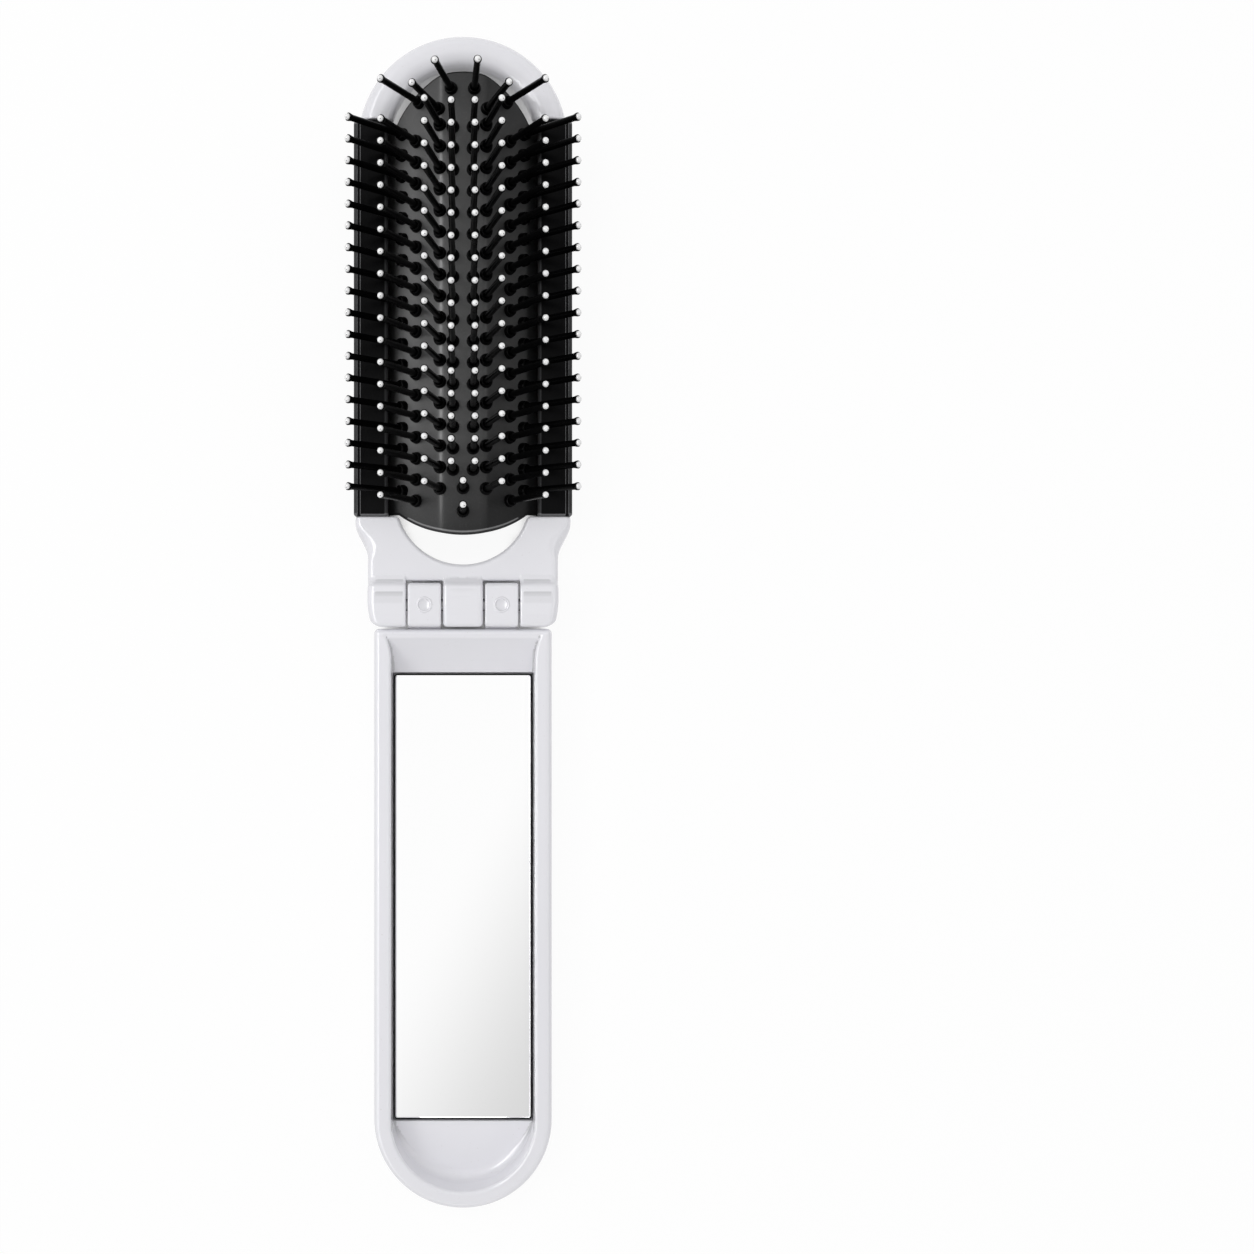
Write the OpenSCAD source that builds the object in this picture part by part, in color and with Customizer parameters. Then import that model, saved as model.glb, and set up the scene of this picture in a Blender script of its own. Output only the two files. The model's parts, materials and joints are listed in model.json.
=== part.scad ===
// Folding hairbrush with a mirror in its handle.
// X runs across the brush, +Y points to the top of the head, +Z is the bristle side.
// The brush lies open on its back: the origin is at the middle of its footprint.
// All shapes are drawn with Y counted from the hinge axis, and placed() shifts them.

/* [Overall] */
// Distance from the hinge axis to the top of the head
head_len = 93.2; // [88:0.2:106]
// Distance from the hinge axis to the tip of the handle
handle_len = 98.4; // [90:0.2:108]
// Width across the two grip sleeves
body_w = 35.6; // [34:0.2:40]
// Thickness of the head frame, front to back
frame_t = 9; // [8.4:0.1:10.4]

/* [Head frame] */
// Radial width of the ring at the top of the head
ring_w = 5.4; // [4.6:0.1:6]
// How far the ring stands inside the outer face of the sleeves
ring_inset = 0.6; // [0.2:0.1:1.2]
// Rounding of the ring's edges
ring_edge_r = 2.4; // [1:0.1:2.6]
// Diameter of the rails that carry the sleeves
rail_d = 3; // [2.4:0.1:3.2]
// Distance from the hinge axis to the lower end of the sleeves
yoke_len = 14.4; // [14:0.2:18]
// Width of the yoke at the hinge
hinge_w = 31; // [29:0.2:33]
// Radius of the round cut-out in the yoke
cutout_r = 10.9; // [10:0.1:11.2]
// Material left between the yoke's lower end and the cut-out
yoke_web = 2.7; // [2.4:0.1:5]
// Width of the bevel around the cut-out, on the back
cutout_bevel = 1.4; // [0.4:0.1:1.8]
// Corner radius at the lower end of the yoke
yoke_corner_r = 2.4; // [1:0.1:3]
// Straight part of the yoke's sides, below the sleeves
yoke_straight = 2.3; // [1:0.1:3]
// Length over which the yoke narrows toward the hinge
taper_len = 4.5; // [3:0.1:6]
// How far the yoke stands inside the outer face of the sleeves
yoke_inset = 0.25; // [0.1:0.05:0.8]

/* [Grip sleeves] */
// Width of a sleeve across the brush
sleeve_w = 5.6; // [5.4:0.1:6.2]
// Wall between a rail's bore and the outer face
sleeve_wall = 1; // [0.8:0.1:1.1]
// Edge radius on the flat front of a sleeve
sleeve_edge_r = 0.5; // [0.3:0.05:1]
// Height of the slot that holds the pad's edge
slot_h = 3.8; // [3.4:0.1:4.2]
// How far the sleeves reach past the middle of the ring
sleeve_reach = 3.1; // [2:0.1:3.8]

/* [Bristle pad] */
// Height of the arched pad above the middle of the frame
pad_rise = 7.2; // [6:0.1:7.6]
// Thickness of the pad
pad_t = 1.2; // [0.9:0.05:1.5]
// Half width of the flat band along the middle
pad_flat = 2; // [1:0.1:2.6]
// Half width of the middle strip that slides straight through the frame
crown_half = 4.6; // [4.4:0.1:4.9]
// Gap between the pad's lower end and the cut-out
pad_gap_low = 4.6; // [4.3:0.1:5.6]
// Gap between the pad's upper end and the ring
pad_gap_high = 2.2; // [2:0.1:4]
// Width of a rib on the back
rib_w = 1.5; // [1:0.1:2]
// Height of a rib
rib_h = 0.9; // [0.5:0.1:1.2]
// Distance between ribs
rib_pitch = 3.4; // [3.1:0.1:3.5]
// How far the ribs stop short of the pad's ends
rib_margin = 2; // [1.5:0.1:4]

/* [Bristles] */
// Diameter of a pin
bristle_d = 1.05; // [0.8:0.05:1.1]
// Length of a pin from the middle of the pad to its tip
bristle_len = 12; // [9:0.2:12.2]
// Diameter of a ball tip
tip_d = 1.25; // [1.1:0.05:1.4]
// Diameter of the collar around a pin's root
collar_d = 2; // [1.5:0.05:2.1]
// Height of a collar above the pad
collar_h = 0.8; // [0.4:0.05:1.2]
// Distance between pins along a row
bristle_pitch = 3.43; // [3.3:0.01:4.2]
// Distance of the first pins from the yoke
field_margin_low = 2.5; // [2:0.1:4]
// Distance of the last pins from the upper end of the sleeves
field_margin_high = 2; // [1.6:0.1:4]
// Distance of the two inner rows from the middle line
inner_rows = [1.6, 3.6];
// Distance of the two outer rows from the pad's edge
outer_rows = [6.15, 3.95];
// Outward lean of the four rows in degrees, inner to outer
row_lean = [1, 11, 27, 46];
// Distance of the corner pins from the sides of the pad's upper end
corner_inset = 4.1; // [3.6:0.1:4.6]
// Outward lean of the corner pins in degrees
corner_lean = 30; // [20:1:40]
// Distance of the upper end pins from the middle line, inner and outer pair
end_pins = [1.8, 3.7];
// Outward lean of the upper end pins in degrees, left and right of each pair
end_lean = [[12, 2], [20, 16]];
// How far the upper end pins stand beyond the sleeves, inner and outer pair
end_reach = [3.6, 0.4];
// How far the corner pins stand beyond the sleeves
corner_reach = 2.3; // [2.1:0.1:2.4]
// How far the two lower end pins stand from the rows' first pins
end_offset = [1.8, -1.9];

/* [Hinge] */
// Radius of the hinge knuckles
knuckle_r = 3.6; // [3.2:0.1:3.8]
// Height of the knuckles' flat front above the hinge axis
knuckle_flat = 1.5; // [1:0.1:2.2]
// Half width of the middle knuckle
knuckle_in = 3.4; // [3:0.1:4]
// Where the handle's knuckles end, counted from the middle
knuckle_out = 9.1; // [8.4:0.1:10]
// Diameter of the steel hinge pin
hinge_pin_d = 2; // [1.6:0.1:2.4]
// Wall that closes the hinge bore on the left
bore_wall = 1.2; // [0.8:0.1:2]
// How far the pin's end lies inside the open end of the bore
pin_recess = 0.4; // [0.1:0.1:1]
// Radius of the round dimple on a handle knuckle
dimple_r = 1.1; // [0.7:0.1:1.5]

/* [Handle] */
// Width of the handle
handle_w = 29; // [27:0.2:31]
// Width of the rim around the mirror tray
rim_w = 2.8; // [2.2:0.1:3.4]
// Wall under the mirror
floor_t = 1.4; // [1:0.1:1.8]
// Length of the ramp between the hinge and the mirror
ramp_len = 6.4; // [4:0.1:8]
// Flat land between the hinge and the ramp
land_len = 0.9; // [0.6:0.1:2]
// Rounding of the handle's long edges
handle_edge_r = 1; // [0.4:0.1:1.6]
// Corner radius of the handle at the hinge
handle_corner_r = 1; // [0.6:0.1:3]
// How far the glass lies below the shelf around it
glass_drop = 0.1; // [0.05:0.05:0.4]
// Gap around the glass
mirror_gap = 0.25; // [0.15:0.05:0.4]

/* [Mirror] */
// Length of the glass
mirror_len = 74.2; // [66:0.2:76]
// Thickness of the glass
glass_t = 1.5; // [1:0.1:2]
// Thickness of the adhesive tape behind the glass
tape_t = 0.3; // [0.2:0.05:0.6]
// How far the tape stays back from the glass edge
tape_inset = 1.5; // [0.5:0.1:4]

/* [Clearances] */
// Gap at each face between parts that move past each other
run_gap = 0.3; // [0.25:0.05:0.4]
// Radial clearance of the hinge pin in the knuckles
pin_clear = 0.04; // [0.02:0.01:0.08]
// Clearance of parts that are fixed together
fit_gap = 0.05; // [0.02:0.01:0.1]
// Gap between the folded rim and the head frame
fold_gap = 0.15; // [0.1:0.05:0.3]

/* [Hidden] */
$fn = 64;

WHITE = [0.90, 0.90, 0.93];
BLACK = [0.09, 0.09, 0.10];
PALE = [0.86, 0.86, 0.88];
STEEL = [0.62, 0.63, 0.65];
GLASS = [0.80, 0.86, 0.90];
FOAM = [0.96, 0.96, 0.94];

big = 200;
eps = 0.01;

// Y of the hinge axis when the footprint's middle is at the origin
hinge_y = (handle_len - head_len) / 2;
// the hinge axis lies in the plane where the folded halves meet
hinge_z = frame_t;
mid_z = frame_t / 2;

// head frame
ring_r = body_w / 2 - ring_inset;
ring_y = head_len - ring_r;
ring_in = ring_r - ring_w;
body_end = knuckle_r + run_gap;
cutout_y = body_end + yoke_web + cutout_r;
sleeve_top = ring_y + sleeve_reach;
sleeve_in = body_w / 2 - sleeve_w;
rail_x = body_w / 2 - sleeve_wall - fit_gap - rail_d / 2;
// how far the rails run into the yoke and into the ring
rail_bury = 0.5;
yoke_top_w = body_w - 2 * yoke_inset;
taper_from = yoke_len - yoke_straight;
taper_to = taper_from - taper_len;

// bristle pad
web_out = rail_x - rail_d / 2 - run_gap;
web_in = crown_half + run_gap;
pad_side_low = yoke_len + run_gap + fit_gap;
pad_side_high = sleeve_top - run_gap;
pad_low = cutout_y - cutout_r + pad_gap_low;
pad_high = ring_y + ring_in - pad_gap_high;
pad_low_half = cutout_r - 0.4;
pad_high_half = sqrt(pow(ring_in, 2) - pow(sleeve_reach + fit_gap, 2)) - 0.5;

// bristle rows: the field runs between the same margins from both ends of the sleeves
field_low = yoke_len + field_margin_low;
field_high = sleeve_top - field_margin_high;
row_x = [inner_rows[0], inner_rows[1], web_out - outer_rows[0], web_out - outer_rows[1]];
// neighbouring rows are staggered, so that they pass each other when the pad turns over
row_shift = [1.38, 0.5, 0, 0.5] * bristle_pitch;

// handle
rim_top = frame_t - fold_gap;
shelf_z = floor_t + tape_t + glass_t + glass_drop;
tray_half = handle_w / 2 - rim_w;
tip_y = -handle_len + handle_w / 2;
ramp_top = -body_end - land_len;
ramp_foot = ramp_top - ramp_len;

// ---------- helpers ----------

module placed() {
    translate([0, hinge_y, 0]) children();
}

module rounded_rect(w, h, r) {
    square([w - 2 * r, h], center = true);
    square([w, h - 2 * r], center = true);
    for (sx = [-1, 1], sy = [-1, 1])
        translate([sx * (w / 2 - r), sy * (h / 2 - r)]) circle(r);
}

// a straight bar with round ends, from y0 to y1 along Y
module stadium(w, y0, y1) {
    translate([-w / 2, y0 + w / 2]) square([w, y1 - y0 - w]);
    for (y = [y0 + w / 2, y1 - w / 2]) translate([0, y]) circle(w / 2);
}

// extrudes a drawing of (Y, Z) across the brush from x0 to x1
module across(x0, x1) {
    translate([x0, 0, 0]) rotate([90, 0, 90]) linear_extrude(x1 - x0) children();
}

// extrudes a drawing of (X, Z) along the brush from y0 to y1
module along(y0, y1) {
    translate([0, y1, 0]) rotate([90, 0, 0]) linear_extrude(y1 - y0) children();
}

function smooth(s) = s <= 0 ? 0 : s >= 1 ? 1 : s * s * (3 - 2 * s);

// radius of the arc with the given half chord and sagitta
function arc_r(half, sag) = (half * half + sag * sag) / (2 * sag);

// ---------- head frame ----------

function yoke_half(y) =
    hinge_w / 2 + (yoke_top_w - hinge_w) / 2 * smooth((y - taper_to) / (taper_from - taper_to));

module yoke_outline() {
    steps = [for (i = [0:16]) taper_to + (yoke_len - taper_to) * i / 16];
    polygon(concat(
        [for (y = steps) [yoke_half(y), y]],
        [for (i = [16:-1:0]) [-yoke_half(steps[i]), steps[i]]]
    ));
    low = -knuckle_r;
    translate([0, (taper_to + eps + low) / 2])
        rounded_rect(hinge_w, taper_to + eps - low, yoke_corner_r);
    translate([-hinge_w / 2, taper_to - yoke_corner_r - eps])
        square([hinge_w, yoke_corner_r + 2 * eps]);
}

// round barrel with a flattened front, drawn in (Y, Z)
module knuckle_section() {
    intersection() {
        translate([0, hinge_z]) circle(knuckle_r);
        translate([-knuckle_r, hinge_z - knuckle_r]) square([2 * knuckle_r, knuckle_r + knuckle_flat]);
    }
}

module frame_knuckle(x0, x1) {
    across(x0, x1) {
        knuckle_section();
        translate([0, hinge_z - knuckle_r]) square([body_end + 1, knuckle_r]);
    }
}

module hinge_bore(x0, x1) {
    translate([x0, 0, hinge_z]) rotate([0, 90, 0]) cylinder(r = hinge_pin_d / 2 + pin_clear, h = x1 - x0);
}

module yoke() {
    difference() {
        intersection() {
            union() {
                translate([-big / 2, body_end, 0]) cube([big, yoke_len - body_end, frame_t]);
                frame_knuckle(-hinge_w / 2, -knuckle_out - run_gap / 2);
                frame_knuckle(-knuckle_in + run_gap / 2, knuckle_in - run_gap / 2);
                frame_knuckle(knuckle_out + run_gap / 2, hinge_w / 2);
            }
            linear_extrude(2 * frame_t) yoke_outline();
        }
        translate([0, cutout_y, -eps]) cylinder(r = cutout_r, h = frame_t + 2 * eps);
        translate([0, cutout_y, -eps])
            cylinder(r1 = cutout_r + cutout_bevel, r2 = cutout_r, h = cutout_bevel);
        hinge_bore(-hinge_w / 2 + bore_wall, hinge_w);
    }
}

module ring() {
    intersection() {
        translate([0, ring_y, mid_z]) rotate_extrude(angle = 180, $fn = 96)
            translate([ring_r - ring_w / 2, 0]) rounded_rect(ring_w, frame_t, ring_edge_r);
        translate([-big / 2, sleeve_top + fit_gap, -big / 2]) cube(big);
    }
}

module head_frame() {
    color(WHITE) placed() {
        yoke();
        ring();
        for (side = [-1, 1])
            translate([side * rail_x, yoke_len - rail_bury, mid_z]) rotate([-90, 0, 0])
                cylinder(d = rail_d, h = sleeve_top - yoke_len + 2 * rail_bury);
    }
}

// ---------- grip sleeves ----------

module sleeve_section() {
    mid = sleeve_in + sleeve_w / 2;
    round_r = sleeve_w / 2;
    difference() {
        union() {
            translate([mid, round_r]) circle(round_r);
            translate([sleeve_in, round_r]) square([sleeve_w, frame_t - round_r - sleeve_edge_r]);
            translate([sleeve_in + sleeve_edge_r, frame_t - 2 * sleeve_edge_r])
                square([sleeve_w - 2 * sleeve_edge_r, 2 * sleeve_edge_r]);
            for (x = [sleeve_in + sleeve_edge_r, body_w / 2 - sleeve_edge_r])
                translate([x, frame_t - sleeve_edge_r]) circle(sleeve_edge_r);
        }
        translate([rail_x, mid_z]) circle(rail_d / 2 + fit_gap);
        translate([sleeve_in - 1, mid_z - slot_h / 2]) square([web_out + run_gap / 2 - sleeve_in + 1, slot_h]);
        translate([sleeve_in - 1, mid_z - rail_d / 2]) square([rail_x - sleeve_in + 1, rail_d]);
    }
}

module sleeve(side) {
    color(BLACK) placed()
        mirror([side < 0 ? 1 : 0, 0, 0])
            along(yoke_len + fit_gap, sleeve_top) sleeve_section();
}

// ---------- bristle pad ----------

// height of the pad's middle surface above the middle of the frame
function pad_z(x) = pad_rise * smooth((rail_x - abs(x)) / (rail_x - pad_flat));

// the arched band between two distances from the middle line, drawn in (X, Z)
module pad_band(x0, x1, n) {
    xs = [for (i = [0:n]) x0 + (x1 - x0) * i / n];
    polygon(concat(
        [for (x = xs) [x, mid_z + pad_z(x) + pad_t / 2]],
        [for (i = [n:-1:0]) [xs[i], mid_z + pad_z(xs[i]) - pad_t / 2]]
    ));
}

// one end of the pad, an arc over the given half chord
module pad_end(y_side, y_apex, half) {
    sag = abs(y_apex - y_side);
    r = arc_r(half, sag);
    dir = y_apex > y_side ? 1 : -1;
    intersection() {
        translate([0, y_apex - dir * r]) circle(r, $fn = 128);
        translate([-half, min(y_side - dir, y_apex + dir)]) square([2 * half, sag + 2]);
    }
}

module pad_outline() {
    translate([-web_out, pad_side_low]) square([2 * web_out, pad_side_high - pad_side_low]);
    pad_end(pad_side_low, pad_low, pad_low_half);
    pad_end(pad_side_high, pad_high, pad_high_half);
}

// Y of the pad's two ends at a distance x from the middle line
function end_y(x, y_side, y_apex, half) =
    let (r = arc_r(half, abs(y_apex - y_side)), dir = y_apex > y_side ? 1 : -1)
    y_apex - dir * (r - sqrt(r * r - x * x));

module pad_rib(x) {
    low = end_y(x, pad_side_low, pad_low, pad_low_half) + rib_margin;
    high = end_y(x, pad_side_high, pad_high, pad_high_half) - rib_margin;
    top = mid_z + pad_z(x);
    translate([x, 0, top - pad_t / 2 - rib_h]) linear_extrude(rib_h + pad_t / 2) stadium(rib_w, low, high);
}

module pad_strip(x0, x1, n) {
    intersection() {
        along(0, head_len) pad_band(x0, x1, n);
        linear_extrude(2 * big, center = true) pad_outline();
    }
}

module pad_crown() {
    color(BLACK) placed() {
        pad_strip(-crown_half, crown_half, 12);
        for (i = [-1:1]) pad_rib(i * rib_pitch);
    }
}

module pad_web(side) {
    color(BLACK) placed() {
        pad_strip(side < 0 ? -web_out : web_in, side < 0 ? -web_in : web_out, 12);
        for (i = [2, 3]) pad_rib(side * i * rib_pitch);
    }
}

// ---------- bristles ----------

// puts a bristle's root on the middle surface of the pad, leaning outward
module at_root(x, y, lean) {
    placed() translate([x, y, mid_z + pad_z(x)]) rotate([0, sign(x) * lean, 0]) children();
}

module bristle() {
    cylinder(d = bristle_d, h = bristle_len, $fn = 24);
    cylinder(d = collar_d, h = pad_t / 2 + collar_h, $fn = 24);
}

module tip() {
    translate([0, 0, bristle_len]) sphere(d = tip_d, $fn = 24);
}

// Y of each root in a row: k is 0 for the innermost row and 3 for the outermost
function row_ys(k) = [for (y = [field_low + row_shift[k]:bristle_pitch:field_high]) y];

module bristle_row(side, k) {
    for (y = row_ys(k)) at_root(side * row_x[k], y, row_lean[k]) children();
}

// single bristles at the upper corners of the pad, carried by the webs
module corner_bristle(side) {
    at_root(side * (pad_high_half - corner_inset), sleeve_top + corner_reach, corner_lean) children();
}

// single bristles near the two ends of the middle strip
module end_set() {
    for (pair = [0, 1], side = [0, 1])
        at_root((2 * side - 1) * end_pins[pair], sleeve_top + end_reach[pair], end_lean[pair][side])
            children();
    for (offset = end_offset) at_root(0, field_low + offset, 0) children();
}

module row_pins(side, k) {
    color(BLACK) bristle_row(side, k) bristle();
    if (k == 2) color(BLACK) corner_bristle(side) bristle();
}

module row_tips(side, k) {
    color(PALE) bristle_row(side, k) tip();
    if (k == 2) color(PALE) corner_bristle(side) tip();
}

// ---------- hinge pin ----------

module hinge_pin() {
    color(STEEL) placed()
        translate([-hinge_w / 2 + bore_wall + fit_gap, 0, hinge_z]) rotate([0, 90, 0])
            cylinder(d = hinge_pin_d, h = hinge_w - bore_wall - fit_gap - pin_recess);
}

// ---------- handle ----------

// flat bar with a round end and rounded edges
module handle_body() {
    half = handle_w / 2;
    intersection() {
        union() {
            along(tip_y, -body_end) translate([0, rim_top / 2])
                rounded_rect(handle_w, rim_top, handle_edge_r);
            translate([0, tip_y, rim_top / 2]) rotate([0, 0, 180]) rotate_extrude(angle = 180, $fn = 96)
                intersection() {
                    rounded_rect(handle_w, rim_top, handle_edge_r);
                    translate([0, -frame_t]) square([handle_w, 2 * frame_t]);
                }
        }
        linear_extrude(rim_top) {
            top = -body_end;
            translate([-half, -big]) square([handle_w, big + top - handle_corner_r]);
            translate([-half + handle_corner_r, -big]) square([handle_w - 2 * handle_corner_r, big + top]);
            for (side = [-1, 1])
                translate([side * (half - handle_corner_r), top - handle_corner_r]) circle(handle_corner_r);
        }
    }
}

module tray() {
    // ramp and open tray
    across(-tray_half, tray_half) polygon([
        [ramp_top, rim_top], [ramp_top, rim_top + 1], [tip_y, rim_top + 1],
        [tip_y, shelf_z], [ramp_foot, shelf_z]
    ]);
    translate([0, tip_y, shelf_z]) cylinder(r = tray_half, h = frame_t, $fn = 96);
    // pocket under the glass
    translate([-tray_half, ramp_foot - mirror_len - 2 * mirror_gap, floor_t])
        cube([2 * tray_half, mirror_len + 2 * mirror_gap, frame_t]);
}

module handle_knuckle(x0, x1) {
    difference() {
        across(x0, x1) {
            knuckle_section();
            translate([-body_end - 1, hinge_z - knuckle_r]) square([body_end + 1, knuckle_r - fold_gap]);
        }
        dimple_ball = 2 * dimple_r;
        translate([(x0 + x1) / 2, 0, hinge_z + knuckle_flat + sqrt(dimple_ball * dimple_ball - dimple_r * dimple_r)])
            sphere(dimple_ball);
        hinge_bore(x0 - 1, x1 + 1);
    }
}

module handle_shell() {
    color(WHITE) placed() {
        difference() {
            handle_body();
            tray();
        }
        for (side = [-1, 1]) {
            x0 = side * (knuckle_in + run_gap / 2);
            x1 = side * (knuckle_out - run_gap / 2);
            handle_knuckle(min(x0, x1), max(x0, x1));
        }
    }
}

// ---------- mirror ----------

mirror_w = 2 * (tray_half - mirror_gap);
mirror_y = ramp_foot - mirror_gap - mirror_len;

module mirror_glass() {
    color(GLASS) placed()
        translate([-mirror_w / 2, mirror_y, floor_t + tape_t]) cube([mirror_w, mirror_len, glass_t]);
}

module mirror_tape() {
    color(FOAM) placed()
        translate([-mirror_w / 2 + tape_inset, mirror_y + tape_inset, floor_t])
            cube([mirror_w - 2 * tape_inset, mirror_len - 2 * tape_inset, tape_t]);
}

head_frame();
sleeve(-1);  // sleeve_left
sleeve(1);  // sleeve_right
hinge_pin();
pad_crown();
pad_web(-1);  // pad_web_left
pad_web(1);  // pad_web_right
row_pins(-1, 3);  // bristle_row_1
row_pins(-1, 2);  // bristle_row_2
row_pins(-1, 1);  // bristle_row_3
row_pins(-1, 0);  // bristle_row_4
row_pins(1, 0);  // bristle_row_5
row_pins(1, 1);  // bristle_row_6
row_pins(1, 2);  // bristle_row_7
row_pins(1, 3);  // bristle_row_8
row_tips(-1, 3);  // bristle_tips_1
row_tips(-1, 2);  // bristle_tips_2
row_tips(-1, 1);  // bristle_tips_3
row_tips(-1, 0);  // bristle_tips_4
row_tips(1, 0);  // bristle_tips_5
row_tips(1, 1);  // bristle_tips_6
row_tips(1, 2);  // bristle_tips_7
row_tips(1, 3);  // bristle_tips_8
color(BLACK) end_set() bristle();  // end_bristles
color(PALE) end_set() tip();  // end_tips
handle_shell();
mirror_glass();
mirror_tape();
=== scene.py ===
"""Looks, light and camera of a folding hairbrush with a mirror in its handle.

Shapes are worked out in millimetres in a frame of their own: X across the brush, V along it
from the hinge axis toward the top of the head, Z up. build() moves them into the shared frame.
"""

import json
import math

import bpy
import numpy as np
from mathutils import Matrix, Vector

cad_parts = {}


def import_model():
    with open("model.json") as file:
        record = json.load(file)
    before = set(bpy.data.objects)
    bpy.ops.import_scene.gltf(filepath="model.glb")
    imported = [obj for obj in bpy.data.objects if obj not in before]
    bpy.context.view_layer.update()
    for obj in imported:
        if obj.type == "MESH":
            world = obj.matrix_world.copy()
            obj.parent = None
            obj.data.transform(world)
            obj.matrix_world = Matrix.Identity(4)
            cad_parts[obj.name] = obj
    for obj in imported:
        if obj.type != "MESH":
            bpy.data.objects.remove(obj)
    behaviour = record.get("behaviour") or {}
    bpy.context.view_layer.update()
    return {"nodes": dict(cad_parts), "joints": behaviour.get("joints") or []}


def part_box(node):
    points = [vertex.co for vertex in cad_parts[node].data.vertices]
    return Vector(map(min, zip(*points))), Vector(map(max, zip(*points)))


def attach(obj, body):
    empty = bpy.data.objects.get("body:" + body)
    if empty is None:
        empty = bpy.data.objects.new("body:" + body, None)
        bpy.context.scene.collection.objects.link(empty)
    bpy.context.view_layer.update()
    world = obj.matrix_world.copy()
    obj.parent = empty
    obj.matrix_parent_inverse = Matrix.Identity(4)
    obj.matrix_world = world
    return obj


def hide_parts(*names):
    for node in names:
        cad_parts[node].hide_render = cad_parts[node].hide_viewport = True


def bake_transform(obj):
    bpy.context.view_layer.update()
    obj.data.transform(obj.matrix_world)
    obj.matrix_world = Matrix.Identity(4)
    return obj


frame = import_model()

MM = 0.001
JOINTS = {joint["name"]: joint for joint in frame["joints"]}


# ---------- sizes, read from the frame or named here ----------

def node_box(name):
    """Lowest and highest corner of a CAD node in millimetres, with Y counted from the hinge axis."""
    low, high = (np.array(corner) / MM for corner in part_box(name))
    low[1] -= hinge_y
    high[1] -= hinge_y
    return low, high


hinge_y, hinge_z = (JOINTS["handle_fold"]["pos_m"][axis] / MM for axis in (1, 2))
rail_x, mid_z = (JOINTS["right_flank_turn"]["pos_m"][axis] / MM for axis in (0, 2))
pad_rise = JOINTS["pad_snap"]["range_m"][1] / MM / 2

sleeve_low, sleeve_high = node_box("sleeve_right")
sleeve_in, sleeve_out = sleeve_low[0], sleeve_high[0]
sleeve_start, sleeve_end = sleeve_low[1], sleeve_high[1]
frame_t = sleeve_high[2]

head_low, head_high = node_box("head_frame")
head_len = head_high[1]
knuckle_r = -head_low[1]
knuckle_top = head_high[2]
yoke_half_top = head_high[0]

handle_low, handle_high = node_box("handle_shell")
handle_half = handle_high[0]
tip_v = handle_low[1] + handle_half

glass_low, glass_high = node_box("mirror_glass")
web_out = node_box("pad_web_right")[1][0]

# edge radii that several mouldings share, from the crispest to the softest
crisp, sharp, edge_round = 0.05, 0.1, 0.3

# clearances: between moving pieces, and between a sleeve and the frame's white mouldings
run_gap, sleeve_gap = 0.3, 0.05

# the sleeves: their rounding, the slot that grips the pad and the groove along the top
sleeve_flat, sleeve_corner = 0.01, 0.6
sleeve_start_round, sleeve_end_round = 0.4, 0.8
slot_half, slot_round = 1.9, 0.2
groove_inset, groove_rise, groove_r = 0.85, 0.12, 0.24

# the ring at the top of the head; its top face falls toward the inner edge
ring_inset, ring_w, ring_round, ring_edge = 0.6, 5.4, 2.5, 0.8
ring_r = sleeve_out - ring_inset
ring_v = head_len - ring_r
ring_mid = ring_r - ring_w / 2
ring_fall, ring_fall_w = 0.3, 1.3
rail_r, rail_bury = 1.5, 0.5

# the yoke: it narrows from the sleeves to the hinge in an S-curve, round a bevelled cut-out
yoke_len = sleeve_start - sleeve_gap
yoke_half_hinge = 15.5
yoke_round, yoke_end_round = 0.9, 0.45
shoulder_round, shoulder_reach, shoulder_scale = 1.5, 3.4, 0.9
body_end = knuckle_r + run_gap
taper_start, taper_end = yoke_len - 7.0, yoke_len - 1.2
cutout_r, cutout_round = 10.9, 0.7
yoke_web = 2.7
cutout_v = body_end + yoke_web + cutout_r
cutout_bevel = 1.4
neck_inset, neck_len = 0.2, 1.2

# the knuckles: the head's two outer lobes and its middle one, with the handle's plates between them
knuckle_in, knuckle_out = 3.4, 9.1
barrel_round = 0.45
facet_half, facet_slope, middle_slope = 1.5, 0.13, 0.1
saddle_v, saddle_slope, saddle_rise, saddle_dip = 5.0, 0.32, 1.0, 0.5
lobe_draw, lobe_draw_len, draw_limit = 1.25, 4.4, 0.997
lobe_fillet, lobe_round = 0.5, 1.3
middle_fillet, middle_round = 0.9, 0.7
plate_step, plate_fillet = 1.4, 0.04
overlap = 1.0

# the dimple in each plate, with a small raised lip round it
dimple_r = 1.02
lip_r, lip_out, lip_sunk = 0.16, 0.1, 0.02

# the handle: rim, mirror tray with a ramp toward the hinge, and the glass's pocket
rim_top = frame_t - 0.15
rim_w, rim_round, corner_round = 2.8, 1.0, 0.8
tray_half = handle_half - rim_w
shelf_z = glass_high[2] + 0.1
pocket_floor = 1.4
glass_gap = glass_low[0] + tray_half
land_end = -body_end - 0.9
ramp_end = glass_high[1] + glass_gap
ramp_flare, flare_len, flare_limit, flare_power = 1.05, 4.6, 1.15, 2.4
tray_round, tip_round, tip_round_len = 0.2, 1.5, 6
tray_edge = 0.5

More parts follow.
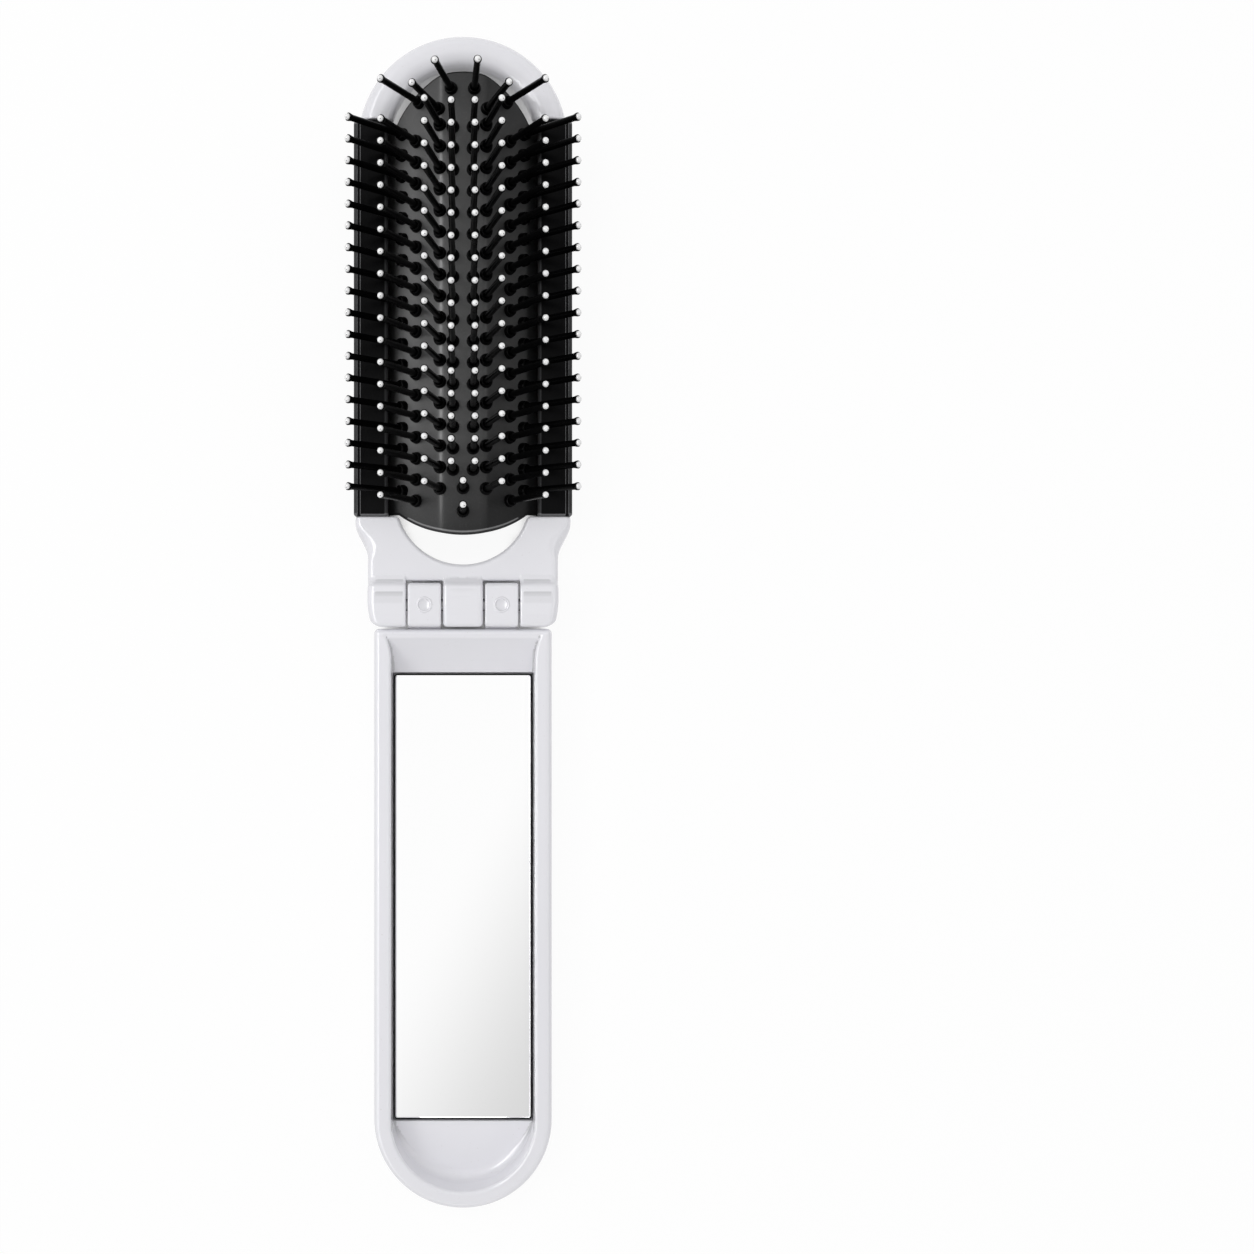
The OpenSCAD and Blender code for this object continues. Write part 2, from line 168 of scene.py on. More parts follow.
# the pad: a sheet with two creases, arched between the rails, and seven ribs on its back
pad_t, pad_flat, pad_edge = 1.2, 3.65, 0.4
pad_hollow, pad_crease = 1.35, 0.05
pad_start, pad_end = sleeve_start + run_gap, sleeve_end - run_gap
pad_low_v = cutout_v - cutout_r + 4.6
pad_high_v = ring_v + ring_r - ring_w - 2.2
pad_low_half = cutout_r - 0.4
pad_high_half = math.sqrt((ring_r - ring_w) ** 2 - (sleeve_end + sleeve_gap - ring_v) ** 2) - 0.5
rib_w, rib_h, rib_pitch, rib_margin = 1.5, 0.9, 3.4, 2.0
rib_foot, rib_slope, half_ribs = 0.12, 0.34, 4

# the long rows of pins, from the middle outward: X, lean in degrees, and shift along the row in pitches
bristle_pitch = 3.43
row_x = [1.6, 3.6, web_out - 6.15, web_out - 3.95]
row_lean = [1, 11, 27, 46]
row_shift = [1.38, 0.5, 0, 0.5]
field_low, field_high = yoke_len + 2.5, sleeve_end - 2.0


# ---------- distance fields ----------

def both(a, b, r):
    """Intersection of two distance fields, its edge rounded with radius r."""
    return np.minimum(-r, np.maximum(a, b)) + np.hypot(np.maximum(r + a, 0), np.maximum(r + b, 0))


def either(a, b, r):
    """Union of two distance fields with a fillet of radius r."""
    return np.maximum(r, np.minimum(a, b)) - np.hypot(np.maximum(r - a, 0), np.maximum(r - b, 0))


def without(a, b, r):
    """a less b, with a rounded edge."""
    return both(a, -b, r)


def span(value, low, high):
    """Distance to the slab between low and high."""
    return np.abs(value - (low + high) / 2) - (high - low) / 2


def rounded_box(a, b, half_a, half_b, r):
    """Distance to a box with round corners, in two directions."""
    qa, qb = np.abs(a) - half_a + r, np.abs(b) - half_b + r
    return np.hypot(np.maximum(qa, 0), np.maximum(qb, 0)) + np.minimum(np.maximum(qa, qb), 0) - r


def smooth(share):
    """An S-curve from 0 to 1, flat outside that range."""
    share = np.clip(share, 0, 1)
    return share * share * (3 - 2 * share)


def bump(value, middle, half):
    """1 at the middle, falling smoothly to 0 at half a width away."""
    return smooth(1 - np.abs(value - middle) / half)


def barrel(v, z, facet):
    """A hinge barrel with a flat front. facet is the slope of the two strips beside the front."""
    front = z - knuckle_top + facet * np.maximum(np.abs(v) - facet_half, 0)
    return both(np.hypot(v, z - hinge_z) - knuckle_r, front, barrel_round)


def neck(v, z, reach):
    """What joins a head knuckle to the yoke: it rises from the yoke's face at reach toward the barrel."""
    rise = np.minimum(saddle_slope * (reach - v), saddle_rise)
    height = np.maximum(z - frame_t - rise, hinge_z - knuckle_r - z)
    return both(span(v, 0, saddle_v + overlap), height, sharp)


def yoke_field(x, v, z):
    """The yoke's body with its cut-out."""
    taper = smooth((v - taper_start) / (taper_end - taper_start))
    half = yoke_half_hinge + (yoke_half_top - yoke_half_hinge) * taper
    side_round = yoke_round + shoulder_round * bump(v, (taper_start + taper_end) / 2, shoulder_reach)
    yoke = both((np.abs(x) - half) * shoulder_scale, span(z, 0, frame_t), side_round)
    yoke = both(yoke, span(v, body_end, yoke_len), yoke_end_round)
    rho = np.hypot(x, v - cutout_v)
    cone = (rho - cutout_r - (cutout_bevel - z)) * math.sqrt(0.5)
    yoke = without(yoke, rho - cutout_r, cutout_round)
    return without(yoke, cone, edge_round)


def knuckle_field(x, v, z):
    """The head's three knuckles: two lobes, drawn in toward the hinge, and the middle one."""
    ax = np.abs(x)
    draw = np.clip((lobe_draw_len - knuckle_r - v) / lobe_draw_len, 0, draw_limit)
    side = ax - yoke_half_hinge + lobe_draw * (1 - np.sqrt(1 - draw ** 2))
    side = side + neck_inset * smooth((v - body_end) / neck_len)
    lobe = either(barrel(v, z, facet_slope), neck(v, z, saddle_v), lobe_fillet)
    lobe = both(lobe, side, lobe_round)
    lobe = both(lobe, knuckle_out + run_gap / 2 - ax, edge_round)
    dip = saddle_dip * np.clip(1 - (x / knuckle_in) ** 2, 0, 1)
    middle = either(barrel(v, z, middle_slope), neck(v, z, saddle_v - dip), middle_fillet)
    middle = both(middle, ax - knuckle_in + run_gap / 2, middle_round)
    return np.minimum(lobe, middle)


def ring_field(x, v, z):
    """The half-round ring at the top of the head."""
    rho = np.hypot(x, v - ring_v)
    section = rounded_box(rho - ring_mid, z - mid_z, ring_w / 2, frame_t / 2, ring_round)
    top = z - frame_t + ring_fall * (ring_r - ring_w + ring_fall_w - rho)
    return both(both(section, top, ring_edge), sleeve_end + sleeve_gap - v, edge_round)


def head_field(x, v, z):
    """The head's white moulding: yoke, knuckles, ring and the two rails."""
    yoke = np.minimum(yoke_field(x, v, z), knuckle_field(x, v, z))
    length = span(v, yoke_len - rail_bury, sleeve_end + rail_bury)
    rail = both(np.hypot(np.abs(x) - rail_x, z - mid_z) - rail_r, length, sharp)
    return np.minimum(np.minimum(yoke, ring_field(x, v, z)), rail)


def tray_field(x, v, z, below):
    """The hollow over the glass: its shoulders flare toward the hinge and its floor ends in a ramp."""
    flare = ramp_flare * np.clip((v - land_end + flare_len) / flare_len, 0, flare_limit) ** flare_power
    opening = np.hypot(x, below) - tray_half - flare
    slope = (frame_t - shelf_z) / (land_end - ramp_end)
    ramp = (shelf_z + (v - ramp_end) * slope - z) / math.hypot(1, slope)
    toward_tip = smooth((glass_low[1] - v) / tip_round_len)
    return both(opening, np.maximum(shelf_z - z, ramp), tray_round + (tip_round - tray_round) * toward_tip)


def plate_field(ax, v, z):
    """A hinge plate with its dimple and an arm into the handle."""
    mid, half = (knuckle_in + knuckle_out) / 2, (knuckle_out - knuckle_in - run_gap) / 2
    arm = both(span(v, -body_end - overlap, 0), span(z, hinge_z - knuckle_r, hinge_z - plate_step), sharp)
    plate = both(either(barrel(v, z, 0), arm, plate_fillet), np.abs(ax - mid) - half, edge_round)
    rho = np.hypot(ax - mid, v)
    ball = np.hypot(rho, z - knuckle_top - math.sqrt(3) * dimple_r) - 2 * dimple_r
    lip = np.hypot(rho - dimple_r - lip_out, z - knuckle_top + lip_sunk) - lip_r
    return either(without(plate, ball, crisp), lip, crisp)


def handle_field(x, v, z):
    """The handle's white moulding with its tray, the glass's pocket and two hinge plates."""
    ax = np.abs(x)
    below = np.minimum(v - tip_v, 0)
    plan = both(np.hypot(x, below) - handle_half, v + body_end, corner_round)
    shell = both(plan, span(z, 0, rim_top), rim_round)
    pocket = np.maximum(ax - tray_half, span(v, glass_low[1] - glass_gap, ramp_end))
    pocket = np.maximum(pocket, pocket_floor - z)
    shell = without(without(shell, tray_field(x, v, z, below), tray_edge), pocket, crisp)
    return np.minimum(shell, plate_field(ax, v, z))


def sleeve_field(x, v, z):
    """The right sleeve: round below, square above, with the pad's slot and a groove."""
    mid, half = (sleeve_in + sleeve_out) / 2, (sleeve_out - sleeve_in) / 2
    corner = np.where(z < mid_z, half - sleeve_flat, sleeve_corner)
    section = rounded_box(x - mid, z - frame_t / 2, half, frame_t / 2, corner)
    slot = np.maximum(x - web_out - run_gap / 2, span(z, mid_z - slot_half, mid_z + slot_half))
    groove = np.hypot(x - sleeve_out + groove_inset, z - frame_t - groove_rise) - groove_r
    section = without(without(section, slot, slot_round), groove, crisp)
    return both(both(section, sleeve_start - v, sleeve_start_round), v - sleeve_end, sleeve_end_round)


# ---------- meshes ----------

# grid steps in millimetres
FINE, COARSE = 0.25, 3.0
# the strongest bend that a mesh's attribute holds
BEND_LIMIT = 3


def lines(low, high, coarse, *zones):
    """Grid lines from low to high: each zone is (start, end, step), with coarse steps elsewhere."""
    found = [low]
    while found[-1] < high:
        at = found[-1]
        inside = [step for start, end, step in zones if start <= at < end]
        ahead = [max(start - at, step) for start, end, step in zones if start > at]
        found.append(at + min(inside or [coarse, *ahead]))
    return np.array(found)


def edge_crossing(values, axes, axis):
    """Where the grid's edges along one axis cross the surface, at what points, and which start inside."""
    first, second = [slice(None)] * 3, [slice(None)] * 3
    first[axis], second[axis] = slice(0, -1), slice(1, None)
    a, b = values[tuple(first)], values[tuple(second)]
    cross = (a < 0) != (b < 0)
    share = np.where(cross, a / np.where(cross, a - b, 1), 0)
    point = np.zeros(a.shape + (3,))
    for other in range(3):
        shape = [1, 1, 1]
        shape[other] = -1
        line = axes[other][:-1] if other == axis else axes[other]
        point[..., other] = line.reshape(shape)
        if other == axis:
            point[..., other] += share * np.diff(axes[axis]).reshape(shape)
    return cross, point, a < 0


def crossing_quads(index, p, q, cross, from_inside):
    """An outward quad round each crossed edge, between the vertices of the four cells that share it."""
    at = np.argwhere(cross)
    cells_p, cells_q = index.shape[p], index.shape[q]
    at = at[(at[:, p] > 0) & (at[:, p] < cells_p) & (at[:, q] > 0) & (at[:, q] < cells_q)]
    corners = []
    for dp, dq in ((-1, -1), (0, -1), (0, 0), (-1, 0)):
        cell = at.copy()
        cell[:, p] += dp
        cell[:, q] += dq
        corners.append(index[tuple(cell.T)])
    quad = np.stack(corners, 1)
    outward = from_inside[tuple(at.T)]
    return np.where(outward[:, None], quad, quad[:, ::-1])


def surface_net(field, axes):
    """Vertices and outward quads of the field's zero surface on a grid of lines."""
    xs, vs, zs = axes
    values = field(xs[:, None, None], vs[None, :, None], zs[None, None, :])
    values = np.broadcast_to(values, [len(a) for a in axes])
    cells = [len(a) - 1 for a in axes]
    total, count = np.zeros(cells + [3]), np.zeros(cells)
    crossings = []
    for axis in range(3):
        cross, point, from_inside = edge_crossing(values, axes, axis)
        p, q = (axis + 1) % 3, (axis + 2) % 3
        for op in (0, 1):
            for oq in (0, 1):
                part = [slice(None)] * 3
                part[p], part[q] = slice(op, op + cells[p]), slice(oq, oq + cells[q])
                hit = cross[tuple(part)]
                total += np.where(hit[..., None], point[tuple(part)], 0)
                count += hit
        crossings.append((p, q, cross, from_inside))
    used = count > 0
    index = np.full(cells, -1)
    index[used] = np.arange(used.sum())
    faces = [crossing_quads(index, *crossing) for crossing in crossings]
    return total[used] / count[used][:, None], np.concatenate(faces)


def slopes(field, points, step=0.01):
    """The field's value, gradient and bend (positive on a convex edge) at some points."""
    value = field(*points.T)
    gradient, bend = np.zeros_like(points), -6 * value
    for axis in range(3):
        shift = np.zeros(3)
        shift[axis] = step
        ahead, behind = field(*(points + shift).T), field(*(points - shift).T)
        gradient[:, axis] = (ahead - behind) / (2 * step)
        bend = bend + ahead + behind
    return value, gradient, bend / step ** 2


def calmed(values, faces, level=1.1):
    """The values with each lone peak, which only marks a seam's odd vertex, averaged away."""
    total, count = np.zeros(len(values)), np.zeros(len(values))
    means = values[faces].mean(1)
    for corner in faces.T:
        np.add.at(total, corner, means)
        np.add.at(count, corner, 1)
    around = total / np.maximum(count, 1)
    return np.where(np.abs(around) < level, around, values)


def solid_mesh(name, field, axes):
    """A mesh of a distance field, its vertices pulled onto the surface and its normals taken from it."""
    pulls, least_slope, longest_move = 4, 0.05, 0.3
    points, faces = surface_net(field, axes)
    for _ in range(pulls):
        value, gradient, _ = slopes(field, points)
        steepness = np.maximum((gradient ** 2).sum(1), least_slope)
        move = np.clip(value / steepness, -longest_move, longest_move)
        points = points - move[:, None] * gradient
    _, gradient, bend = slopes(field, points)
    bend = calmed(np.clip(bend, -BEND_LIMIT, BEND_LIMIT), faces)
    return build(name, points, faces, normals=gradient, bend=bend)


def set_bend(mesh, values):
    """Keeps a number for each vertex in the mesh's attribute that the materials' tints read."""
    mesh.attributes.new("bend", "FLOAT", "POINT").data.foreach_set("value", values.astype(np.float32))


def build(name, points, faces, normals=None, bend=None):
    """A mesh object in the shared frame from points in millimetres."""
    points = np.asarray(points, float) + [0, hinge_y, 0]
    mesh = bpy.data.meshes.new(name)
    mesh.from_pydata((points * MM).tolist(), [], [list(map(int, face)) for face in faces])
    mesh.update()
    mesh.shade_smooth()
    if bend is not None:
        set_bend(mesh, bend)
    if normals is not None:
        unit = normals / np.maximum(np.linalg.norm(normals, axis=1), 1e-9)[:, None]
        mesh.normals_split_custom_set_from_vertices(unit.tolist())
    piece = bpy.data.objects.new(name, mesh)
    bpy.context.scene.collection.objects.link(piece)
    return piece


def mirrored(points, faces):
    return points * [-1, 1, 1], faces[:, ::-1]


def ring_quads(rings, count):
    """Quads between rings of count points each, listed ring after ring."""
    faces = []
    for ring in range(rings - 1):
        low, high = ring * count, (ring + 1) * count
        for i in range(count):
            j = (i + 1) % count
            faces.append([low + i, low + j, high + j, high + i])
    return faces


# ---------- node trees ----------

class Nodes:
    """A node tree, with short ways to add to it."""

    def __init__(self, tree):
        self.tree = tree

    def add(self, kind, **settings):
        node = self.tree.nodes.new("ShaderNode" + kind)
        for setting, value in settings.items():
            setattr(node, setting, value)
        return node

    def put(self, value, socket):
        """Links an output to the socket, or gives the socket a number, colour or vector."""
        if isinstance(value, bpy.types.NodeSocket):
            self.tree.links.new(value, socket)
        else:
            socket.default_value = value

    def math(self, operation, first, second):
        node = self.add("Math", operation=operation)
        self.put(first, node.inputs[0])
        self.put(second, node.inputs[1])
        return node.outputs["Value"]

    def spread(self, value, low, high, to_low=0, to_high=1, kind="LINEAR"):
        """Maps the range from low to high onto the range from to_low to to_high."""
        node = self.add("MapRange", interpolation_type=kind)
        ends = {"From Min": low, "From Max": high, "To Min": to_low, "To Max": to_high}
        for socket, number in ends.items():
            self.put(number, node.inputs[socket])
        self.put(value, node.inputs["Value"])
        return node.outputs["Result"]

    def mixed(self, share, first, second):
        """A mix of two shaders."""
        node = self.add("MixShader")
        for socket, output in zip(node.inputs, (share, first, second)):
            self.put(output, socket)
        return node.outputs[0]

    def rays(self, *kinds):
        """1 for the kinds of rays named, and 0 for the others."""
        path = self.add("LightPath")
        mask = path.outputs[kinds[0]]
        for kind in kinds[1:]:
            mask = self.math("MAXIMUM", mask, path.outputs[kind])
        return mask


class Shader(Nodes):
    """A material with a Principled shader."""

    def __init__(self, name, colour, **sockets):
        self.material = bpy.data.materials.new(name)
        self.material.use_nodes = True
        super().__init__(self.material.node_tree)
        self.shader = self.tree.nodes["Principled BSDF"]
        self.place = self.add("TexCoord").outputs["Object"]
        self.height = None
        self.put((*colour, 1), self.shader.inputs["Base Color"])
        for socket, value in sockets.items():
            self.put(value, self.shader.inputs[socket.replace("_", " ")])

    def noise(self, per_mm, detail=3, stretch=(1, 1, 1), rough=0.55):
        """Noise with the given number of waves per millimetre."""
        mapping = self.add("Mapping")
        self.put(self.place, mapping.inputs["Vector"])
        self.put([per_mm * s / MM for s in stretch], mapping.inputs["Scale"])
        noise = self.add("TexNoise")
        self.put(mapping.outputs["Vector"], noise.inputs["Vector"])
        for socket, number in {"Scale": 1, "Detail": detail, "Roughness": rough}.items():
            self.put(number, noise.inputs[socket])
        return noise.outputs["Fac"]

    def bend(self, low, high, to_low=0, to_high=1):
        """How strongly the surface bends, from the mesh's own attribute."""
        node = self.add("Attribute", attribute_name="bend")
        return self.spread(node.outputs["Fac"], low, high, to_low, to_high)

    def tint(self, share, other):
        """Mixes the base colour toward another one."""
        mix = self.add("Mix", data_type="RGBA")
        socket = self.shader.inputs["Base Color"]
        before = socket.links[0].from_socket if socket.is_linked else socket.default_value[:]
        self.put(before, mix.inputs["A"])
        self.put((*other, 1), mix.inputs["B"])
        self.put(share, mix.inputs["Factor"])
        self.put(mix.outputs["Result"], socket)

    def mottle(self, other, waves, detail, between, most=1):
        """Tints toward another colour in patches, as noise goes from one level to the next."""
        self.tint(self.spread(self.noise(waves, detail), *between, 0, most), other)

    def vary_roughness(self, value, between, rough):
        self.put(self.spread(value, *between, *rough), self.shader.inputs["Roughness"])

    def relief(self, height, depth_mm):
        """Adds a bump whose height spans depth_mm."""
        node = self.add("Bump")
        self.put(1.0, node.inputs["Strength"])
        self.put(depth_mm * MM, node.inputs["Distance"])
        self.put(height, node.inputs["Height"])
        if self.height:
            self.put(self.height, node.inputs["Normal"])
        self.height = node.outputs["Normal"]
        self.put(self.height, self.shader.inputs["Normal"])


# ---------- materials ----------

def white_plastic():
    m = Shader("gloss_white_plastic", (0.785, 0.782, 0.818), Coat_Weight=0.35, Coat_Roughness=0.05)
    m.mottle((0.755, 0.752, 0.785), waves=0.05, detail=2, between=(0.3, 0.7), most=0.35)
    m.mottle((0.6, 0.58, 0.57), waves=2.2, detail=2, between=(0.7, 0.78), most=0.5)
    # painted shade: the colour darkens in the concave fillets and creases, read from the mesh's bend
    m.tint(m.bend(-0.6, -2.5), (0.5, 0.5, 0.52))
    m.vary_roughness(m.noise(0.12, 4), between=(0.35, 0.65), rough=(0.12, 0.2))
    m.relief(m.noise(0.2, 2), 0.008)
    m.relief(m.noise(4.0, 2), 0.0012)
    return m.material


def black_sleeve():
    m = Shader("satin_black_sleeve", (0.0015, 0.0015, 0.0017), Specular_IOR_Level=0.06)
    m.mottle((0.003, 0.003, 0.0033), waves=0.08, detail=3, between=(0.35, 0.7))
    # painted highlight: the colour lightens along the convex edges, read from the mesh's bend
    m.tint(m.bend(1.3, 2.6), (0.14, 0.14, 0.145))
    m.vary_roughness(m.noise(0.5, 3, stretch=(1, 0.06, 1)), between=(0.35, 0.65), rough=(0.28, 0.42))
    m.relief(m.noise(5.0, 3), 0.004)
    return m.material


def black_pad():
    """A grained sheet. Its reflection is turned down toward its two free ends and along the upper rim, a
    painted shade, and a thin painted highlight line runs along its lower end.
    """
    gloss, low_gloss, high_gloss, rim_gloss = 0.62, 0.16, 0.24, 0.03
    low_fade, high_fade = 16 * MM, 14 * MM
    m = Shader("grained_black_pad", (0.005, 0.005, 0.0053), IOR=1.7)
    m.mottle((0.01, 0.01, 0.0103), waves=0.1, detail=3, between=(0.35, 0.7))
    m.mottle((0.016, 0.016, 0.0165), waves=3.0, detail=2, between=(0.55, 0.75))
    # painted highlight: the thin light line along the lower end
    m.tint(m.bend(0.5, 3), (0.26, 0.26, 0.265))
    m.vary_roughness(m.noise(0.3, 3), between=(0.35, 0.65), rough=(0.36, 0.48))
    split = m.add("SeparateXYZ")
    m.put(m.place, split.inputs[0])
    along = split.outputs["Y"]
    low, high = (pad_low_v + hinge_y) * MM, (pad_high_v + hinge_y) * MM
    # painted shade: the reflection is turned down toward the two free ends and along the upper rim
    level = m.spread(along, low, low + low_fade, low_gloss, gloss)
    level = m.math("MINIMUM", level, m.spread(along, high, high - high_fade, high_gloss, gloss))
    level = m.math("MINIMUM", level, m.bend(-2.5, 0, rim_gloss, gloss))
    m.put(level, m.shader.inputs["Specular IOR Level"])
    m.relief(m.noise(4.0, 4, rough=0.7), 0.02)
    return m.material


def black_nylon():
    m = Shader("black_nylon", (0.001, 0.001, 0.0011), Specular_IOR_Level=0.06)
    m.mottle((0.002, 0.002, 0.0022), waves=0.2, detail=2, between=(0.4, 0.7))
    m.vary_roughness(m.noise(0.1, 1), between=(0.35, 0.65), rough=(0.22, 0.28))
    return m.material


def ball_resin():
    m = Shader("pearl_tip_resin", (0.86, 0.86, 0.86), Coat_Weight=0.5, Coat_Roughness=0.05)
    m.mottle((0.8, 0.8, 0.81), waves=0.6, detail=2, between=(0.4, 0.7))
    # painted reflection: the small dark spot on each ball
    m.tint(m.bend(-0.3, -0.8), (0.07, 0.07, 0.07))
    m.vary_roughness(m.noise(2.0, 2), between=(0.3, 0.7), rough=(0.08, 0.2))
    return m.material


def pin_steel():
    m = Shader("hinge_pin_steel", (0.22, 0.22, 0.23), Metallic=1.0)
    m.vary_roughness(m.noise(1.5, 3, stretch=(0.1, 1, 1)), between=(0.3, 0.7), rough=(0.22, 0.42))
    m.relief(m.noise(4.0, 2, stretch=(0.1, 1, 1)), 0.003)
    return m.material


def mirror_face():
    m = Shader("mirror_silver", (0.98, 0.98, 0.98), Metallic=1.0)
    m.vary_roughness(m.noise(0.2, 3), between=(0.4, 0.7), rough=(0.012, 0.035))
    m.mottle((0.86, 0.86, 0.86), waves=1.6, detail=2, between=(0.74, 0.8), most=0.4)
    return m.material


def glass_edge():
    # dark backing paint on the glass's sides and back, and painted shade in the band round its face
    m = Shader("mirror_backing_and_gap_shade", (0.002, 0.0022, 0.0022), Specular_IOR_Level=0.04)
    m.vary_roughness(m.noise(1.0, 3), between=(0.3, 0.7), rough=(0.3, 0.5))
    m.mottle((0.004, 0.0045, 0.0045), waves=0.7, detail=2, between=(0.4, 0.7))
    return m.material


def foam_tape():
    m = Shader("white_foam_tape", (0.74, 0.73, 0.7), Roughness=0.85)
    m.mottle((0.6, 0.59, 0.56), waves=1.2, detail=4, between=(0.35, 0.65))
    m.relief(m.noise(1.5, 4), 0.05)
    return m.material


MATERIALS = {
    "white": white_plastic(), "sleeve": black_sleeve(), "pad": black_pad(), "nylon": black_nylon(),
    "ball": ball_resin(), "steel": pin_steel(), "mirror": mirror_face(), "edge": glass_edge(),
    "tape": foam_tape(),
}


def dress(piece, slot, *names):
    for name in names:
        piece.data.materials.append(MATERIALS[name])
    return piece


# ---------- the white and black mouldings ----------

def head_piece():
    half_x, start_v = 18.2, -4.1
    yoke_zone = (start_v, yoke_len + 0.6, FINE)
    ring_zone = (sleeve_end - 0.4, head_len + 1, FINE)
    axes = (
        lines(-half_x, half_x, FINE),
        lines(start_v, head_len + 0.5, COARSE, yoke_zone, ring_zone),
        lines(-0.4, knuckle_top + 0.5, FINE),
    )
    piece = solid_mesh("head_frame_shell", head_field, axes)
    dress(piece, "white_plastic", "white")
    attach(piece, "head")
    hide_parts("head_frame")


def handle_piece():
    half_x, start_v = 14.9, handle_low[1] - 0.4
    dimple_fine, dimple_half = 0.12, 1.6
    left_dimple, right_dimple = (-8.0, -4.6, dimple_fine), (4.6, 8.0, dimple_fine)
    tip_zone = (start_v, tip_v + 1.0, FINE)
    ramp_zone = (ramp_end - 1.0, -dimple_half, FINE)
    dimple_zone = (-dimple_half, dimple_half, dimple_fine)
    hinge_zone = (dimple_half, 5, FINE)
    front_zone = (10.1, 10.9, dimple_fine)
    axes = (
        lines(-half_x, half_x, FINE, left_dimple, right_dimple),
        lines(start_v, knuckle_r + 0.5, COARSE, tip_zone, ramp_zone, dimple_zone, hinge_zone),
        lines(-0.4, knuckle_top + 0.5, FINE, front_zone),
    )
    piece = solid_mesh("handle_moulding", handle_field, axes)
    dress(piece, "white_plastic", "white")
    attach(piece, "handle")
    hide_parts("handle_shell")


def sleeve_pieces():
    fine, edge_fine = 0.17, 0.09
    start_zone = (sleeve_start - 1, sleeve_start + 1.2, fine)
    end_zone = (sleeve_end - 1.2, sleeve_end + 1, fine)
    xs = lines(sleeve_in - 0.3, sleeve_out + 0.4, fine, (sleeve_out - 1.3, sleeve_out + 1, edge_fine))
    vs = lines(sleeve_start - 0.4, sleeve_end + 0.5, COARSE, start_zone, end_zone)
    zs = lines(-0.3, frame_t + 0.4, fine, (frame_t - 1, frame_t + 1, edge_fine))
    for side, name in ((1, "sleeve_right"), (-1, "sleeve_left")):
        def field(x, v, z, side=side):
            return sleeve_field(side * x, v, z)
        piece = solid_mesh(name + "_cover", field, (xs if side > 0 else -xs[::-1], vs, zs))
        dress(piece, "sleeve_plastic", "sleeve")
        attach(piece, "head")
        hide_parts(name)


# ---------- the bristle pad ----------

def pad_height(x):
    """Height of the pad's middle surface: flat between two creases, with slightly hollow flanks."""
    flank = np.clip((rail_x - np.abs(x)) / (rail_x - pad_flat), 0, 2) ** pad_hollow
    return mid_z + pad_rise * (1 + flank - np.hypot(1 - flank, pad_crease)) / 2


def end_v(x, side_v, apex_v, half):
    """V of the pad's end at a distance from the middle line: an arc with a straight stretch beside it."""
    sag = abs(apex_v - side_v)
    radius = (half * half + sag * sag) / (2 * sag)
    toward = 1 if apex_v > side_v else -1
    drop = radius - np.sqrt(np.maximum(radius ** 2 - np.minimum(np.abs(x), half) ** 2, 0))
    return np.where(np.abs(x) < half, apex_v - toward * drop, side_v)


def low_end(x):
    return end_v(x, pad_start, pad_low_v, pad_low_half)


def high_end(x):
    return end_v(x, pad_end, pad_high_v, pad_high_half)


def rib_drop(x, v):
    """How far the ribs stand out of the pad's back."""
    drop = np.zeros(np.broadcast(x, v).shape)
    for i in range(half_ribs):
        low = low_end(i * rib_pitch) + rib_margin + rib_w / 2
        high = high_end(i * rib_pitch) - rib_margin - rib_w / 2
        away = np.hypot(np.abs(x) - i * rib_pitch, v - np.clip(v, low, high))
        drop = np.maximum(drop, rib_h * smooth((rib_w / 2 + rib_foot - away) / rib_slope))
    return drop


def pad_grid():
    """X, V and the distance from the nearest edge on half of the sheet, closer together near its edges."""
    flat_lines, edge_lines, end_lines, middle_lines = 76, 6, 34, 40
    end_share, end_power = 0.12, 1.6
    flat = np.linspace(0, web_out - pad_edge, flat_lines)
    turn = np.linspace(0.2, math.pi / 2, edge_lines)
    xs = np.concatenate([flat, web_out - pad_edge * (1 - np.sin(turn))])
    ends = end_share * np.linspace(0, 1, end_lines) ** end_power
    middle = np.linspace(end_share, 1 - end_share, middle_lines)[1:-1]
    share = np.concatenate([ends, middle, 1 - ends[::-1]])
    low, high = low_end(xs)[:, None], high_end(xs)[:, None]
    x = np.repeat(xs[:, None], len(share), 1)
    v = low + (high - low) * share
    return x, v, np.minimum(np.minimum(v - low, high - v), web_out - x)


def pad_lines(v, inset):
    """Painted light along the sheet's edge: a thin painted highlight line at the lower end, and painted
    shade along the upper rim.
    """
    light_inset, light_half, light_reach = 0.5, 0.25, 3
    dark_inset, dark_half = 0.2, 0.5
    light = BEND_LIMIT * bump(inset, light_inset, light_half) * (v < pad_low_v + light_reach)
    dark = BEND_LIMIT * bump(inset, dark_inset, dark_half) * (v > sleeve_end)
    return light - dark


